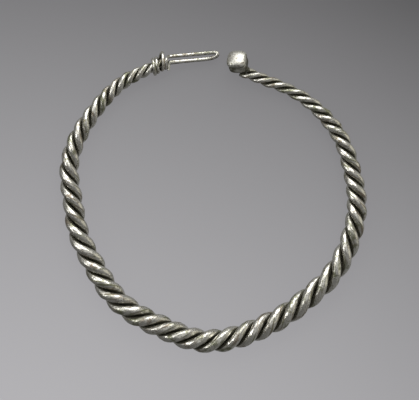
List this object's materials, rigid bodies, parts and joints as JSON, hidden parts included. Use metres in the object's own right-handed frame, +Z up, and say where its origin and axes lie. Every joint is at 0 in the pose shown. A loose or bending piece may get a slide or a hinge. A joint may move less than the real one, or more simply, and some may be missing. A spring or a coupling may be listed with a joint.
{
  "type": "twisted silver neck ring",
  "caption": "Open silver neck ring of hand-twisted tapering rods, with a wire hairpin bound to one end and a rounded block knob at the other.",
  "frame": {"origin": "on the floor below the middle of the whole ring, which lies flat", "axes": "+Z up, square to the ring's plane; +Y from the ring's middle towards its opening; +X to the right when the opening points away"},
  "size_m": [0.1414, 0.1388, 0.0106],
  "materials": {
    "rod_silver": "hammered silver, worn bright on its high spots, with dark tarnish in the grooves",
    "wire_silver": "drawn silver wire, bright, with dark tarnish where turns meet",
    "knob_silver": "polished silver, bright on its domed cap, dark in its groove"
  },
  "bodies": {
    "root": {"rod_a": "rod_silver", "rod_b": "rod_silver", "rod_c": "rod_silver", "clasp_wire": "wire_silver", "knob": "knob_silver"}
  },
  "joints": []
}
